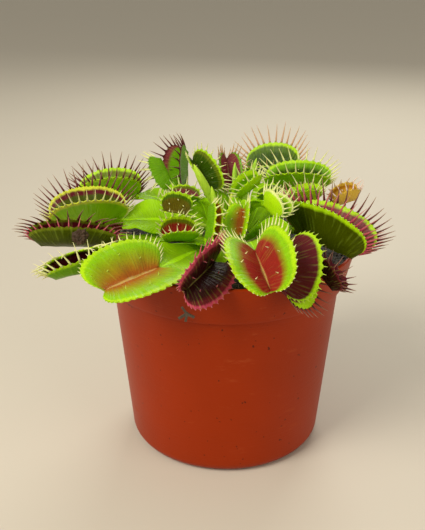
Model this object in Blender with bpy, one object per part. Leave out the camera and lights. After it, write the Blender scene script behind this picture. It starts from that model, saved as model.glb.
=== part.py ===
"""A potted Venus flytrap: a nursery pot, its soil, the crown and every leaf with its trap.

Lengths in the tables are millimetres. X is the width, -Y the front, +Z up, and the pot stands at z = 0.
"""

import math
from typing import NamedTuple

import bmesh
import bpy
from mathutils import Matrix, Vector, noise

MM = 0.001

# Pot
RIM_RADIUS = 45.0
RIM_HEIGHT = 74.0
BASE_RADIUS = 34.4
BASE_ROUNDING = 4.0
COLLAR_HEIGHT = 13.3
COLLAR_FOOT_RADIUS = 41.7
BODY_TOP_RADIUS = 40.0
WALL = 1.1
POT_SIDES = 56
DRAIN_HOLES = 8
DRAIN_HOLE_RADIUS = 2.0
DRAIN_CIRCLE = 22.0

# Soil and crown
GAP = 0.35
SOIL_TOP = 70.8
SOIL_RINGS = (40.5, 33.0, 25.0, 15.0)
SOIL_ROUGHNESS = 0.5
SOIL_SIDES = 36
CROWN_RADIUS = 12.5
CROWN_HEIGHT = 6.2
CROWN_RINGS = (11.0, 8.2, 5.2, 2.2)
CROWN_CLEARANCE = 0.9

# Leaves
BLADE = 0.7
PETIOLE_ROWS = 6
TRAP_ROWS = 8
LOBE_STEPS = 2
NECK = 1.1
HEEL = 1.1
NOTCH = 0.26
SWEEP = 0.28
END_SHARE = 0.18
LEAF_RISE = (12.0, 30.0, 50.0, 68.0)

LIME = (0.36, 0.62, 0.04)
GREEN = (0.18, 0.42, 0.03)
OLIVE = (0.13, 0.20, 0.02)
BURGUNDY = (0.16, 0.02, 0.03)
STRAW = (0.62, 0.45, 0.08)

UPWARD = (0, 0, 1)
TO_FRONT = (0, -0.7, 0.7)


class Leaf(NamedTuple):
    """One leaf: where it leaves the crown, where its trap sits, and how far the trap gapes."""

    name: str
    ring: int
    bearing: float
    seat: tuple
    tip: tuple
    mouth: tuple
    width: float
    root: float
    margin: float
    spike: float
    wing: float
    colour: tuple
    face: tuple = UPWARD


LEAVES = (
    Leaf(
        "leaf_left_upper", 1, 182, (-38, -1, 80), (-56, -5, 79), (0, 0, 1),
        14, 38, 28, 7, 9, LIME, TO_FRONT,
    ),
    Leaf(
        "leaf_left_rear", 1, 156, (-34, 18, 83), (-50, 17, 81), (0, 0, 1),
        12, 34, 22, 6, 5, LIME, TO_FRONT,
    ),
    Leaf(
        "leaf_left_dark", 0, 188, (-41, -16, 77), (-60, -20, 79), (0, -0.4, 0.9),
        9, 62, -12, 8, 5, OLIVE,
    ),
    Leaf(
        "leaf_left_low", 0, 214, (-38, -30, 76), (-52, -38, 75), (0, -0.5, 0.9),
        8, 70, -16, 6, 4, GREEN,
    ),
    Leaf(
        "leaf_front_left", 0, 236, (-21, -36, 77), (-35, -50, 76), (-0.1, -0.5, 0.8),
        13, 62, 66, 2, 8, LIME, TO_FRONT,
    ),
    Leaf(
        "leaf_front_dark", 0, 256, (-5, -38, 79), (-13, -54, 76), (0.8, -0.4, 0.4),
        9, 36, 34, 4, 3, BURGUNDY,
    ),
    Leaf(
        "leaf_front_centre", 0, 292, (9, -37, 83), (13, -52, 77), (-0.1, -0.5, 0.8),
        13, 46, 40, 4, 4, LIME,
    ),
    Leaf(
        "leaf_centre_small", 3, 282, (6, -12, 88), (5, -18, 82), (-0.5, -0.6, 0.6),
        6, 46, 40, 3, 2, LIME,
    ),
    Leaf(
        "leaf_right_round", 1, 306, (18, -28, 82), (16, -45, 75), (0.9, -0.2, 0.3),
        11, 34, 0, 5, 4, BURGUNDY,
    ),
    Leaf(
        "leaf_right_low", 0, 318, (32, -32, 76), (39, -42, 71), (0.6, -0.2, 0.7),
        7, 34, 20, 6, 4, BURGUNDY,
    ),
    Leaf("leaf_right_open", 0, 344, (24, -7, 79), (41, -22, 76), (0.3, 0, 1), 14, 36, 8, 8, 5, OLIVE),
    Leaf(
        "leaf_right_upper", 1, 32, (18, 17, 87), (34, 14, 88), (0, -0.2, 1),
        10, 34, 20, 6, 4, LIME, TO_FRONT,
    ),
    Leaf("leaf_right_middle", 1, 6, (23, 8, 84), (32, 5, 87), (0, -0.2, 1), 6, 44, 8, 4, 4, LIME),
    Leaf(
        "leaf_right_inner", 2, 344, (12, -2.4, 89.4), (17, -2.4, 91.4), (0, -0.2, 1),
        3.6, 40, 24, 2, 2, GREEN,
    ),
    Leaf("leaf_right_front", 2, 306, (13, -12, 90), (17, -19, 88), (0.5, 0, 0.9), 7, 46, 0, 4, 3, LIME),
    Leaf("leaf_centre_rear", 3, 0, (5, 1, 89), (11, 4, 93), (0, -0.2, 1), 6, 50, 0, 4, 2, LIME),
    Leaf("leaf_rear_right", 0, 66, (11, 38, 85), (25, 34, 87), (0, -0.3, 0.9), 13, 40, 34, 7, 3, GREEN),
    Leaf("leaf_rear_centre", 1, 98, (1, 19, 88), (0, 23, 96), (0.3, -0.9, 0.2), 6, 52, 30, 5, 4, GREEN),
    Leaf(
        "leaf_rear_left", 1, 126, (-15, 25, 85), (-15, 29, 97), (-0.7, -0.6, 0.1),
        9, 40, 26, 6, 4, OLIVE,
    ),
    Leaf(
        "leaf_rear_small", 2, 142, (-20, 11, 91), (-24, 12, 99), (-0.9, -0.2, -0.2),
        5, 52, -8, 4, 3, GREEN,
    ),
    Leaf(
        "leaf_rear_half_open", 2, 104, (-6, 11, 89), (-12, 13, 98), (0.4, -0.7, 0.6),
        7, 48, 30, 3, 4, LIME,
    ),
    Leaf(
        "leaf_centre_cup", 2, 204, (-14, -4, 84), (-21, -6, 86), (0, -0.6, 0.8),
        7, 46, 30, 2, 4, LIME,
    ),
    Leaf("leaf_centre_left", 2, 172, (-11, 5, 86), (-18, 5, 87), (0, -0.3, 1), 5, 48, 20, 3, 3, LIME),
    Leaf(
        "leaf_front_inner", 1, 232, (-12, -15, 79), (-20, -18, 80), (0, -0.4, 0.9),
        8, 56, -4, 4, 4, GREEN,
    ),
    Leaf(
        "leaf_front_closed", 2, 266, (-6, -20, 82), (-5, -18, 91), (0.6, -0.6, 0),
        5, 62, -30, 4, 2, LIME,
    ),
    Leaf("leaf_right_old", 0, 14, (39, 10, 83), (46, 12, 85), (0, -0.3, 1), 7, 56, -20, 4, 3, STRAW),
)


class Bud(NamedTuple):
    """One unopened young leaf, a tapered finger from the crown to its tip."""

    name: str
    ring: int
    bearing: float
    tip: tuple
    radius: float


BUDS = (
    Bud("young_leaf_tall", 3, 134, (-11, -2, 101), 1.9),
    Bud("young_leaf_middle", 3, 206, (-5, -4, 94), 1.1),
    Bud("young_leaf_left", 2, 234, (-14, -12, 84), 1.4),
    Bud("young_leaf_rear", 2, 66, (3, 12, 98), 1.3),
    Bud("young_leaf_yellow", 3, 66, (2, 3, 90), 1.1),
    Bud("young_leaf_right", 1, 66, (11, 22, 97), 1.2),
    Bud("young_leaf_front", 0, 274, (3, -38, 77), 1.2),
)
BUD_ROWS = 8
BUD_SIDES = 8

# Dry bits
SPRIG_FOOT = (-12.5, -56.0, 73.6)
SPRIG_BRANCHES = (
    ((0, 0, 0), (1.4, 0.3, -2.2), (1.0, 0.2, -4.6)),
    ((1.4, 0.3, -2.2), (3.6, 0, -3.2)),
    ((1.4, 0.3, -2.2), (-1.0, 0, -3.6)),
)
SPRIG_RADIUS = 0.32
CRUMB_PLACE = (-46.2, -26.3, 83.2)
CRUMB_SIZE = (2.4, 1.0, 2.0)


def clear_scene():
    for item in list(bpy.data.objects):
        bpy.data.objects.remove(item, do_unlink=True)


def material(name, colour, roughness, metallic=0.0):
    made = bpy.data.materials.new(name)
    made.use_nodes = True
    shader = made.node_tree.nodes["Principled BSDF"]
    shader.inputs["Base Color"].default_value = (*colour, 1.0)
    shader.inputs["Roughness"].default_value = roughness
    shader.inputs["Metallic"].default_value = metallic
    made.diffuse_color = (*colour, 1.0)
    return made


def add_object(name, points, faces, surface, sharp_degrees=35):
    """Makes an object from points in millimetres, with its faces turned outward."""
    mesh = bpy.data.meshes.new(name)
    mesh.from_pydata([[c * MM for c in p] for p in points], [], faces)
    edit = bmesh.new()
    edit.from_mesh(mesh)
    bmesh.ops.recalc_face_normals(edit, faces=edit.faces)
    edit.to_mesh(mesh)
    edit.free()
    mesh.shade_smooth()
    mesh.set_sharp_from_angle(angle=math.radians(sharp_degrees))
    mesh.materials.append(surface)
    made = bpy.data.objects.new(name, mesh)
    bpy.context.scene.collection.objects.link(made)
    return made


def turned(profile, sides):
    """Points and faces of a profile, a list of (radius, z) that begins and ends on the axis."""
    points = [(0, 0, profile[0][1])]
    inner = profile[1:-1]
    for radius, z in inner:
        for k in range(sides):
            angle = math.tau * k / sides
            points.append((radius * math.cos(angle), radius * math.sin(angle), z))
    points.append((0, 0, profile[-1][1]))
    faces = []
    for k in range(sides):
        after = (k + 1) % sides
        faces.append((0, 1 + after, 1 + k))
        for row in range(len(inner) - 1):
            low, high = 1 + row * sides, 1 + (row + 1) * sides
            faces.append((low + k, low + after, high + after, high + k))
        top = 1 + (len(inner) - 1) * sides
        faces.append((top + k, top + after, len(points) - 1))
    return points, faces


def wall_radius(z):
    """The pot's outer radius at this height, without the collar."""
    return BASE_RADIUS + (BODY_TOP_RADIUS - BASE_RADIUS) * z / (RIM_HEIGHT - COLLAR_HEIGHT)


def pot_profile():
    collar_foot = RIM_HEIGHT - COLLAR_HEIGHT
    rounding = [
        (
            wall_radius(BASE_ROUNDING) - BASE_ROUNDING * (1 - math.sin(turn)),
            BASE_ROUNDING * (1 - math.cos(turn)),
        )
        for turn in (math.radians(22.5 * k) for k in range(5))
    ]
    outside = [(0, 0), (16, 0), *rounding, (BODY_TOP_RADIUS, collar_foot - 0.2)]
    collar = [
        (COLLAR_FOOT_RADIUS - 0.3, collar_foot),
        (COLLAR_FOOT_RADIUS, collar_foot + 0.4),
        (RIM_RADIUS - 0.2, RIM_HEIGHT - 0.5),
        (RIM_RADIUS - 0.5, RIM_HEIGHT),
        (RIM_RADIUS - WALL + 0.2, RIM_HEIGHT),
        (RIM_RADIUS - WALL, RIM_HEIGHT - 0.4),
    ]
    inside = [
        (COLLAR_FOOT_RADIUS - WALL, collar_foot + 0.9),
        (BODY_TOP_RADIUS - WALL, collar_foot - 0.4),
        (wall_radius(BASE_ROUNDING) - WALL, BASE_ROUNDING),
        (BASE_RADIUS - BASE_ROUNDING, WALL + 0.2),
        (0, WALL + 0.2),
    ]
    return outside + collar + inside


def make_pot():
    points, faces = turned(pot_profile(), POT_SIDES)
    pot = add_object("pot", points, faces, material("terracotta_plastic", (0.42, 0.10, 0.02), 0.42))
    for k in range(DRAIN_HOLES):
        angle = math.tau * (k + 0.5) / DRAIN_HOLES
        bpy.ops.mesh.primitive_cylinder_add(
            vertices=12,
            radius=DRAIN_HOLE_RADIUS * MM,
            depth=8 * MM,
            location=(DRAIN_CIRCLE * MM * math.cos(angle), DRAIN_CIRCLE * MM * math.sin(angle), 0),
        )
        cutter = bpy.context.object
        cutter.name = f"drain_cutter_{k}"
        cutter.hide_render = True
        cutter.display_type = "WIRE"
        cut = pot.modifiers.new(f"drain_{k}", "BOOLEAN")
        cut.operation = "DIFFERENCE"
        cut.object = cutter
    return pot


def soil_height(x, y):
    """The soil's top: gently uneven, level under the crown."""
    away = min(1.0, max(0.0, (math.hypot(x, y) - CROWN_RADIUS - 1) / 10))
    return SOIL_TOP + SOIL_ROUGHNESS * away * noise.noise(Vector((x, y, 0)) * 0.11)


def make_soil():
    collar_foot = RIM_HEIGHT - COLLAR_HEIGHT
    slope = (RIM_RADIUS - COLLAR_FOOT_RADIUS) / COLLAR_HEIGHT
    brim = COLLAR_FOOT_RADIUS - WALL + slope * (SOIL_TOP - collar_foot) - GAP - 0.4
    side = [
        (0, WALL + 0.2 + GAP),
        (BASE_RADIUS - BASE_ROUNDING - GAP, WALL + 0.2 + GAP),
        (wall_radius(BASE_ROUNDING) - WALL - GAP, BASE_ROUNDING + GAP),
        (BODY_TOP_RADIUS - WALL - GAP, collar_foot - 0.4),
        (COLLAR_FOOT_RADIUS - WALL - GAP, collar_foot + 1.4),
        (brim, SOIL_TOP - 0.4),
    ]
    rings = [(radius, SOIL_TOP) for radius in SOIL_RINGS]
    points, faces = turned([*side, *rings, (0, SOIL_TOP)], SOIL_SIDES)
    first_top = 1 + (len(side) - 1) * SOIL_SIDES
    for at in range(first_top, len(points)):
        x, y, _ = points[at]
        points[at] = (x, y, soil_height(x, y))
    return add_object("soil", points, faces, material("soil_peat", (0.02, 0.016, 0.01), 0.95))


def crown_height(radius):
    """The top of the crown at this distance from its middle."""
    return SOIL_TOP + GAP + CROWN_HEIGHT * (1 - (radius / CROWN_RADIUS) ** 2)


def make_crown():
    foot = SOIL_TOP + GAP
    rim = [(CROWN_RADIUS * share, crown_height(CROWN_RADIUS * share)) for share in (0.97, 0.8, 0.6, 0.35)]
    profile = [(0, foot), (CROWN_RADIUS, foot), *rim, (0, crown_height(0))]
    points, faces = turned(profile, 20)
    return add_object("crown", points, faces, material("crown_white_green", (0.30, 0.34, 0.12), 0.6))


def crown_seat(ring, bearing):
    """Where a leaf leaves the crown, and the direction it leaves in."""
    radius = CROWN_RINGS[ring]
    angle = math.radians(bearing)
    rise = math.radians(LEAF_RISE[ring])
    out = Vector((math.cos(angle), math.sin(angle), 0))
    place = out * radius + Vector((0, 0, crown_height(radius) + CROWN_CLEARANCE))
    return place, out * math.cos(rise) + Vector((0, 0, math.sin(rise)))


def bezier(a, b, c, d, t):
    """The point and the unit direction of a cubic at t."""
    u = 1 - t
    point = a * u**3 + b * 3 * u * u * t + c * 3 * u * t * t + d * t**3
    along = (b - a) * u * u + (c - b) * 2 * u * t + (d - c) * t * t
    return point, along.normalized()


def smooth(t):
    t = min(1.0, max(0.0, t))
    return t * t * (3 - 2 * t)


def upright(direction, hint):
    """The part of hint across direction, made a unit vector."""
    return (hint - direction * hint.dot(direction)).normalized()


def lobe_offset(root, margin, share):
    """How far out and up a lobe reaches at this share of its width, for a width of one."""
    bend = margin - root
    if abs(bend) < 1e-4:
        return share * math.sin(root), share * math.cos(root)
    turn = root + bend * share
    return (math.cos(root) - math.cos(turn)) / bend, (math.sin(turn) - math.sin(root)) / bend


def petiole_half_width(leaf, t):
    """Half the width of the winged leaf stalk: slim, then widest, then a narrow neck."""
    wide = smooth(t / 0.62) * (1 - smooth((t - 0.74) / 0.24))
    base = HEEL + (NECK - HEEL) * smooth(t)
    return base + (leaf.wing - base) * wide


def leaf_rows(leaf):
    """The cross-sections of a leaf from the crown to the trap's far end.

    Each is (middle, along, side, up, half width, root angle, margin angle, reach), and reach says how
    far along the leaf the margin stands ahead of the middle.
    """
    start, out = crown_seat(leaf.ring, leaf.bearing)
    seat, tip, mouth = Vector(leaf.seat), Vector(leaf.tip), Vector(leaf.mouth)
    midrib = tip - seat
    length = midrib.length
    along = midrib.normalized()
    handle = (seat - start).length * 0.38
    opening = upright(along, mouth)
    rows = []
    for k in range(PETIOLE_ROWS):
        t = k / PETIOLE_ROWS
        point, way = bezier(start, start + out * handle, seat - along * handle, seat, t)
        up = upright(way, Vector(leaf.face).lerp(opening, smooth(t)))
        half = petiole_half_width(leaf, t)
        spread = math.radians(80)
        rows.append((point, way, way.cross(up), up, half, spread, spread, 0.0))
    root, margin = math.radians(leaf.root), math.radians(leaf.margin)
    for k in range(TRAP_ROWS + 1):
        turn = math.pi * k / TRAP_ROWS
        ahead = length * (1 - math.cos(turn)) / 2
        half = leaf.width * (END_SHARE + (1 - END_SHARE) * math.sin(turn) ** 0.8)
        reach = -NOTCH * length * (math.sin(2 * turn) + SWEEP * math.cos(turn))
        rows.append((seat + along * ahead, along, along.cross(opening), opening, half, root, margin, reach))
    return rows


def leaf_sheet(rows):
    """The middle surface of a leaf as a grid, and at each point the unit normal of its cross-section."""
    shares = [k / LOBE_STEPS for k in range(-LOBE_STEPS, LOBE_STEPS + 1)]
    grid, normals = [], []
    for middle, along, side, up, half, root, margin, reach in rows:
        line, facing = [], []
        for share in shares:
            out, rise = lobe_offset(root, margin, abs(share))
            across = side * math.copysign(out * half, share)
            line.append(middle + across + up * rise * half + along * reach * abs(share))
            turn = root + (margin - root) * abs(share)
            lean = side * math.copysign(math.cos(turn), -share) if share else Vector()
            facing.append((lean + up * math.sin(turn)).normalized())
        grid.append(line)
        normals.append(facing)
    return grid, normals


def make_leaf(leaf):
    """A leaf as one closed solid: stalk, both lobes and a tooth on every margin face of the trap."""
    rows = leaf_rows(leaf)
    grid, normals = leaf_sheet(rows)
    columns = len(grid[0])
    count = len(grid) * columns
    half = BLADE / 2
    flat = [(p, n) for line, row in zip(grid, normals) for p, n in zip(line, row)]
    points = [p + n * half for p, n in flat] + [p - n * half for p, n in flat]
    faces = []
    for i in range(len(grid) - 1):
        for j in range(columns - 1):
            a = i * columns + j
            quad = (a, a + 1, a + columns + 1, a + columns)
            faces += [quad, tuple(count + v for v in reversed(quad))]
        for j in (0, columns - 1):
            a, b = i * columns + j, (i + 1) * columns + j
            rim = (a, b, count + b, count + a)
            if i < PETIOLE_ROWS:
                faces.append(rim)
                continue
            turn = (i - PETIOLE_ROWS + 0.5) / TRAP_ROWS
            inner = 1 if j == 0 else columns - 2
            edge = (grid[i][j] + grid[i + 1][j]) / 2
            inside = (grid[i][inner] + grid[i + 1][inner]) / 2
            outward = (edge - inside).normalized()
            fan = rows[i][1] * -math.cos(math.pi * turn) * 0.4
            length = leaf.spike * (0.55 + 0.45 * math.sin(math.pi * turn))
            points.append(edge + (outward + fan).normalized() * length)
            faces += [(rim[k], rim[(k + 1) % 4], len(points) - 1) for k in range(4)]
    for i in (0, len(grid) - 1):
        for j in range(columns - 1):
            a = i * columns + j
            faces.append((a, a + 1, count + a + 1, count + a))
    return add_object(leaf.name, points, faces, material(f"{leaf.name}_skin", leaf.colour, 0.42), 60)


def make_bud(bud):
    start, out = crown_seat(bud.ring, bud.bearing)
    tip = Vector(bud.tip)
    handle = (tip - start).length * 0.35
    lean = (tip - start).normalized()
    points = []
    for k in range(BUD_ROWS):
        t = k / BUD_ROWS
        point, way = bezier(start, start + out * handle, tip - lean * handle, tip, t)
        up = upright(way, Vector((0.2, 0.1, 1)))
        side = way.cross(up)
        swell = 0.45 + 0.55 * math.sin(math.pi * t**1.4)
        for s in range(BUD_SIDES):
            angle = math.tau * s / BUD_SIDES
            reach = side * math.cos(angle) + up * math.sin(angle) * 0.75
            points.append(point + reach * bud.radius * swell)
    points.append(tip)
    faces = [tuple(reversed(range(BUD_SIDES)))]
    for row in range(BUD_ROWS - 1):
        for s in range(BUD_SIDES):
            a, b = row * BUD_SIDES + s, row * BUD_SIDES + (s + 1) % BUD_SIDES
            faces.append((a, b, b + BUD_SIDES, a + BUD_SIDES))
    last = (BUD_ROWS - 1) * BUD_SIDES
    faces += [(last + s, last + (s + 1) % BUD_SIDES, len(points) - 1) for s in range(BUD_SIDES)]
    return add_object(bud.name, points, faces, material(f"{bud.name}_skin", LIME, 0.4))


def make_sprig():
    """A forked dry root, a Skin modifier round three short lines."""
    places, edges = [], []
    for branch in SPRIG_BRANCHES:
        before = None
        for spot in branch:
            if spot not in places:
                places.append(spot)
            here = places.index(spot)
            if before is not None:
                edges.append((before, here))
            before = here
    mesh = bpy.data.meshes.new("dry_sprig")
    foot = Vector(SPRIG_FOOT)
    mesh.from_pydata([(foot + Vector(p)) * MM for p in places], edges, [])
    mesh.materials.append(material("dry_root", (0.16, 0.12, 0.09), 0.9))
    sprig = bpy.data.objects.new("dry_sprig", mesh)
    bpy.context.scene.collection.objects.link(sprig)
    skin = sprig.modifiers.new("skin", "SKIN")
    skin.use_smooth_shade = True
    for vertex in mesh.skin_vertices[0].data:
        vertex.radius = (SPRIG_RADIUS * MM, SPRIG_RADIUS * MM)
    return sprig


def make_crumb():
    """A crumb of peat caught on a trap."""
    edit = bmesh.new()
    bmesh.ops.create_icosphere(edit, subdivisions=2, radius=1)
    for vertex in edit.verts:
        swell = 1 + 0.35 * noise.noise(vertex.co * 1.7)
        vertex.co = Vector([c * s * swell * MM for c, s in zip(vertex.co, CRUMB_SIZE)])
    mesh = bpy.data.meshes.new("peat_crumb")
    edit.to_mesh(mesh)
    edit.free()
    mesh.transform(Matrix.Translation(Vector(CRUMB_PLACE) * MM))
    mesh.materials.append(material("crumb_peat", (0.12, 0.07, 0.03), 0.95))
    mesh.shade_smooth()
    crumb = bpy.data.objects.new("peat_crumb", mesh)
    bpy.context.scene.collection.objects.link(crumb)
    return crumb


def main():
    clear_scene()
    make_pot()
    make_soil()
    make_crown()
    for leaf in LEAVES:
        make_leaf(leaf)
    for bud in BUDS:
        make_bud(bud)
    make_sprig()
    make_crumb()


main()
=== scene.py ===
"""A potted Venus flytrap: the pot, its soil, the crown, every leaf with its bristles, and their finishes.

The tables are in millimetres and degrees. X is the width, -Y the front, +Z up.
"""

import math
import random
from typing import NamedTuple

import bmesh
import bpy
from bpy.props import FloatProperty, FloatVectorProperty, IntProperty, PointerProperty
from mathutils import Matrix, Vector, noise


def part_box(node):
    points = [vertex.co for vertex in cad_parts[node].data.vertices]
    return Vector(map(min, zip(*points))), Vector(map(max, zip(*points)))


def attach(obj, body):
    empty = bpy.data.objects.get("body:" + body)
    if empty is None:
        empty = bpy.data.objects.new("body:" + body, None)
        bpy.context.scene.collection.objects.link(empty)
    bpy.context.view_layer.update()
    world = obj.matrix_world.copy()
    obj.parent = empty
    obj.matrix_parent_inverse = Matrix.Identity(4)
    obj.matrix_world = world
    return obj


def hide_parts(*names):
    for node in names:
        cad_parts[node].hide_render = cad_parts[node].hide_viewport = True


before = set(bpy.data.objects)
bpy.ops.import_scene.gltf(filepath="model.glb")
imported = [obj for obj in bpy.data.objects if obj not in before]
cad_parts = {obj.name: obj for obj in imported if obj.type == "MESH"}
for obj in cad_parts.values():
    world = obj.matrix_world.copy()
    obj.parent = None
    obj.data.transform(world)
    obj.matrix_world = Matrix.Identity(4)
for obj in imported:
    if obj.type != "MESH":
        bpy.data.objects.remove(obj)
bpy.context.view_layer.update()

bl_info = {
    "name": "Potted Venus flytrap",
    "version": (1, 0, 0),
    "blender": (4, 5, 0),
    "location": "View3D > Sidebar > Flytrap",
    "description": "Makes a Venus flytrap in a nursery pot, leaf by leaf",
    "category": "Add Mesh",
}

MM = 0.001
POT_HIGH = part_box("pot")[1]

# Pot and soil
RIM_RADIUS = POT_HIGH.x / MM
RIM_HEIGHT = POT_HIGH.z / MM
BASE_RADIUS = 34.4
BASE_ROUNDING = 4.0
COLLAR_HEIGHT = 13.3
COLLAR_FOOT_RADIUS = 41.7
BODY_TOP_RADIUS = 40.0
WALL = 1.1
POT_SIDES = 160
DRAIN_HOLES = 8
DRAIN_HOLE_RADIUS = 2.0
DRAIN_CIRCLE = 22.0
DRAIN_SIDES = 32
CUTTER_DEPTH = 8.0
SOIL_GAP = 0.35
SOIL_TOP = 70.8
SOIL_SIDES = 120
FIBRE_STRETCH = 0.3

# Crown
CROWN_RADIUS = 12.5
CROWN_HEIGHT = 6.2
CROWN_RINGS = (11.0, 8.2, 5.2, 2.2)
CROWN_CLEARANCE = 0.9
CROWN_BASES = 11
CROWN_ROWS = 14
CROWN_SIDES = 56

# Leaves
STALK_ROWS = 30
ROWS_PER_BRISTLE = 4
LOBE_STEPS = 9
NECK = 1.1
HEEL = 1.1
NOTCH = 0.26
SWEEP = 0.28
ROUNDNESS = 1.15
LEAF_RISE = (12.0, 30.0, 50.0, 68.0)
RELIEF = 0.35
FLARE = 0.9
TRAP_KEEL = 0.55
STALK_KEEL = 0.75
KEEL_WIDTH = 0.8
BRISTLE_FAN = 0.45
BRISTLE_SIDES = 6
BRISTLE_STEPS = 6
TRIGGERS = ((0.36, 0.42), (0.5, 0.62), (0.64, 0.42))
TRIGGER_LENGTH = 1.3
STALK_ANGLES = (84.0, 74.0)
UPWARD = (0, 0, 1)
TO_FRONT = (0, -0.7, 0.7)
BUD_ROWS = 28
BUD_SIDES = 16

# Crumb of peat
CRUMB_SHIFT = 2.0

# Camera
LENS = 54.34
SENSOR = 36.0
CAMERA_PLACE = (0.0, -0.26285, 0.17205)
CAMERA_PITCH = 0.3911
CAMERA_YAW = -0.018


def rgb(red, green, blue):
    """A colour given in display values from 0 to 255, as the shader's linear values."""
    return tuple(
        v / 12.92 if v <= 0.04045 else ((v + 0.055) / 1.055) ** 2.4
        for v in (red / 255, green / 255, blue / 255)
    )


BRIGHT = rgb(140, 194, 8)
LIME = rgb(176, 220, 14)
LEAF_GREEN = rgb(108, 160, 6)
MOSS = rgb(78, 108, 6)
OLIVE = rgb(104, 116, 14)
DARK_OLIVE = rgb(66, 76, 0)
YELLOW = rgb(206, 212, 60)
AMBER = rgb(186, 126, 26)
RUST = rgb(166, 92, 26)
ROSE = rgb(148, 40, 30)
BURGUNDY = rgb(98, 26, 32)
NIGHT = rgb(52, 12, 16)
MAUVE = rgb(126, 50, 58)
MAROON = rgb(92, 18, 32)
PINK = rgb(184, 62, 88)
CREAM = rgb(236, 240, 158)
BLUSH = rgb(242, 212, 196)
TAN = rgb(206, 160, 126)
SIENNA = rgb(126, 66, 44)
STRAW = rgb(226, 184, 66)
RUSSET = rgb(112, 98, 20)
DEEP_GREEN = rgb(52, 80, 0)


class Leaf(NamedTuple):
    """One leaf: where it leaves the crown, where its trap sits, and how far the trap gapes."""

    name: str
    ring: int
    bearing: float
    seat: tuple
    tip: tuple
    mouth: tuple
    width: float
    root: float
    margin: float
    wing: float
    face: tuple = UPWARD


LEAVES = (
    Leaf("leaf_left_upper", 1, 182, (-38, -1, 80), (-56, -5, 79), (0, 0, 1), 14, 38, 28, 9, TO_FRONT),
    Leaf("leaf_left_rear", 1, 156, (-34, 18, 83), (-50, 17, 81), (0, 0, 1), 12, 34, 22, 5, TO_FRONT),
    Leaf("leaf_left_dark", 0, 188, (-41, -16, 77), (-60, -20, 79), (0, -0.2, 1), 9, 62, -34, 5),
    Leaf("leaf_left_low", 0, 214, (-38, -30, 76), (-52, -38, 75), (0, -0.5, 0.9), 8, 70, -40, 4),
    Leaf(
        "leaf_front_left", 0, 236, (-21, -36, 77), (-35, -50, 76), (-0.1, -0.5, 0.8),
        13, 62, 66, 8, TO_FRONT,
    ),
    Leaf("leaf_front_dark", 0, 256, (-4, -38, 80), (-12, -52, 77), (0.8, -0.4, 0.4), 9.5, 40, 56, 3),
    Leaf("leaf_front_centre", 0, 292, (9, -37, 83), (13, -52, 77), (-0.1, -0.5, 0.8), 13, 46, 40, 4),
    Leaf("leaf_centre_small", 3, 282, (6, -12, 88), (5, -18, 82), (-0.5, -0.6, 0.6), 6, 46, 40, 2),
    Leaf("leaf_right_round", 1, 306, (18.5, -32, 83.5), (17.5, -46, 74), (0.95, 0.2, 0.1), 11.5, 24, 16, 4),
    Leaf("leaf_right_low", 0, 318, (28, -33, 77), (33, -41, 73), (0.7, -0.3, 0.5), 5, 34, 20, 3),
    Leaf("leaf_right_open", 0, 344, (24, -7, 79), (41, -22, 76), (0.3, 0, 1), 14, 36, 8, 5),
    Leaf("leaf_right_upper", 1, 32, (18, 17, 87), (34, 14, 88), (0, -0.2, 1), 10, 34, 20, 4, TO_FRONT),
    Leaf("leaf_right_middle", 1, 6, (23, 8, 84), (32, 5, 87), (0, -0.2, 1), 6, 44, 8, 4),
    Leaf("leaf_right_inner", 2, 344, (12, -2.4, 89.4), (17, -2.4, 91.4), (0, -0.2, 1), 3.6, 40, 24, 2),
    Leaf("leaf_right_front", 2, 306, (13, -12, 90), (17, -19, 88), (0.5, 0, 0.9), 7, 46, 0, 3),
    Leaf("leaf_centre_rear", 3, 0, (5, 1, 89), (11, 4, 93), (0, -0.2, 1), 6, 50, 0, 2),
    Leaf("leaf_rear_right", 0, 66, (11, 38, 85), (25, 34, 87), (0, -0.3, 0.9), 13, 40, 34, 3),
    Leaf("leaf_rear_centre", 1, 98, (1, 19, 88), (0, 23, 96), (0.3, -0.9, 0.2), 6, 52, 30, 4),
    Leaf("leaf_rear_left", 1, 126, (-15, 25, 85), (-15, 29, 97), (-0.7, -0.6, 0.1), 9, 40, 26, 4),
    Leaf("leaf_rear_small", 2, 142, (-20, 11, 91), (-24, 12, 99), (-0.9, -0.2, -0.2), 5, 52, -8, 3),
    Leaf("leaf_rear_half_open", 2, 104, (-6, 11, 89), (-12, 13, 98), (0.4, -0.7, 0.6), 7, 48, 30, 4),
    Leaf("leaf_centre_cup", 2, 204, (-14, -4, 84), (-21, -6, 86), (0, -0.6, 0.8), 7, 46, 30, 4),
    Leaf("leaf_centre_left", 2, 172, (-11, 5, 86), (-18, 5, 87), (0, -0.3, 1), 5, 48, 20, 3),
    Leaf("leaf_front_inner", 1, 232, (-12, -15, 79), (-20, -18, 80), (0, -0.4, 0.9), 8, 56, -4, 4),
    Leaf("leaf_front_closed", 2, 266, (-6, -20, 82), (-5, -18, 91), (0.6, -0.6, 0), 5, 62, -30, 2),
    Leaf("leaf_right_old", 0, 14, (39, 10, 83), (46, 12, 85), (0, -0.3, 1), 7, 56, -20, 3),
)


class Look(NamedTuple):
    """A trap's colours, and the colour and length of the bristles on its rear and its front lobe."""

    outside: tuple
    inside: tuple
    band: tuple
    rim: tuple
    rear_bristle: tuple
    front_bristle: tuple
    rear_length: float
    front_length: float
    flush: float = 0.66
    fade: float = 0.0


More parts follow.
